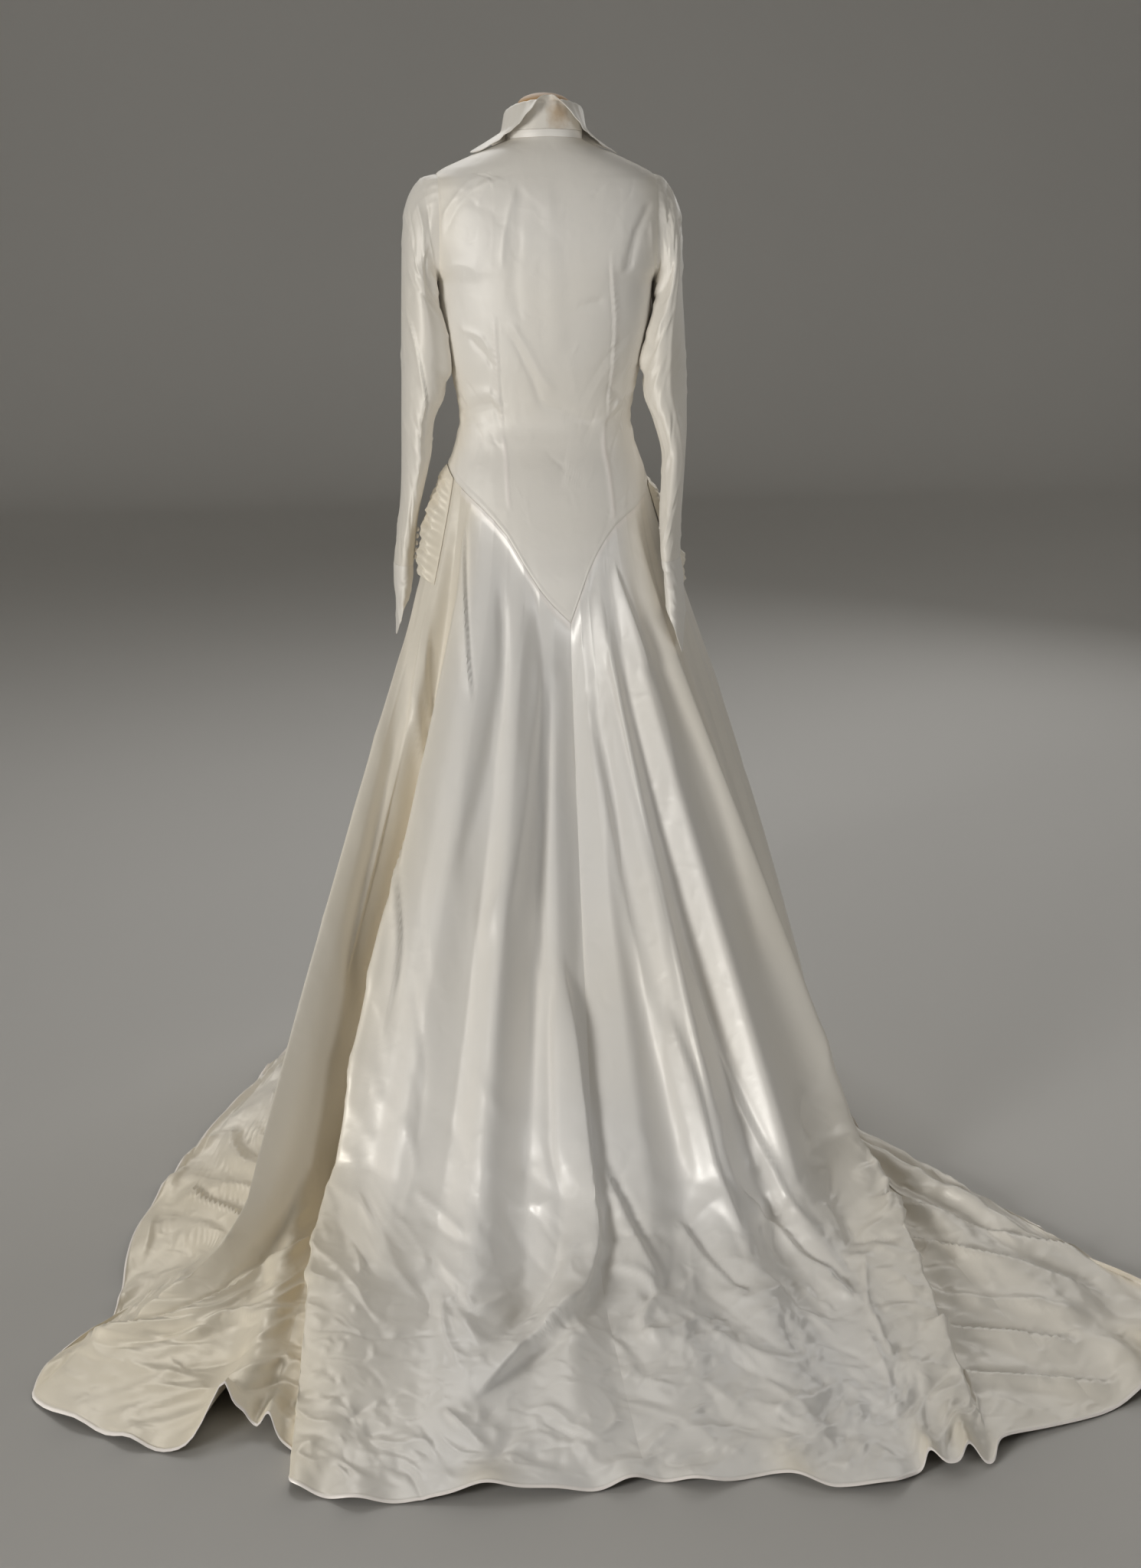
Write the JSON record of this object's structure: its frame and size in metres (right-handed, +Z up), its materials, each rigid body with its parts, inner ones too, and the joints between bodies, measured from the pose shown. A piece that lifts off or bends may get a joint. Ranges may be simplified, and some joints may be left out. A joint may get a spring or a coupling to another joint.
{
  "type": "wedding dress on dress form",
  "caption": "Long-sleeved satin wedding dress with a pointed basque, high collar and spread train, on a limbless dress form with a round base.",
  "frame": {"origin": "on the floor, in the middle of the form base's underside, under the neck", "axes": "+Z up, -Y the wearer's front, +Y the back and the way the train runs, +X the wearer's left"},
  "size_m": [1.445, 1.647, 1.506],
  "materials": {
    "ivory_satin": "ivory satin, strong soft sheen, finely creased",
    "covered_button": "small dome covered with the dress's satin",
    "form_cloth": "golden brown cloth stretched over padding",
    "painted_steel_pole": "black painted steel tube",
    "lacquered_wood": "turned disc, dark lacquer"
  },
  "bodies": {
    "root": {"form_torso": "form_cloth", "form_cap": "form_cloth", "form_pole": "painted_steel_pole", "form_base": "lacquered_wood", "bodice_back": "ivory_satin", "bodice_front_left": "ivory_satin", "bodice_front_right": "ivory_satin", "collar_stand": "ivory_satin", "collar_leaf": "ivory_satin", "sleeve_left": "ivory_satin", "sleeve_right": "ivory_satin", "cuff_left": "ivory_satin", "cuff_right": "ivory_satin", "skirt_side_right": "ivory_satin", "skirt_back_right": "ivory_satin", "skirt_back_left": "ivory_satin", "skirt_side_left": "ivory_satin", "skirt_front": "ivory_satin", "hip_drape_left": "ivory_satin", "hip_drape_right": "ivory_satin", "front_button_1": "covered_button", "front_button_2": "covered_button", "front_button_3": "covered_button", "front_button_4": "covered_button", "front_button_5": "covered_button", "front_button_6": "covered_button", "front_button_7": "covered_button", "front_button_8": "covered_button", "cuff_button_left_1": "covered_button", "cuff_button_left_2": "covered_button", "cuff_button_left_3": "covered_button", "cuff_button_left_4": "covered_button", "cuff_button_left_5": "covered_button", "cuff_button_right_1": "covered_button", "cuff_button_right_2": "covered_button", "cuff_button_right_3": "covered_button", "cuff_button_right_4": "covered_button", "cuff_button_right_5": "covered_button"}
  },
  "joints": []
}
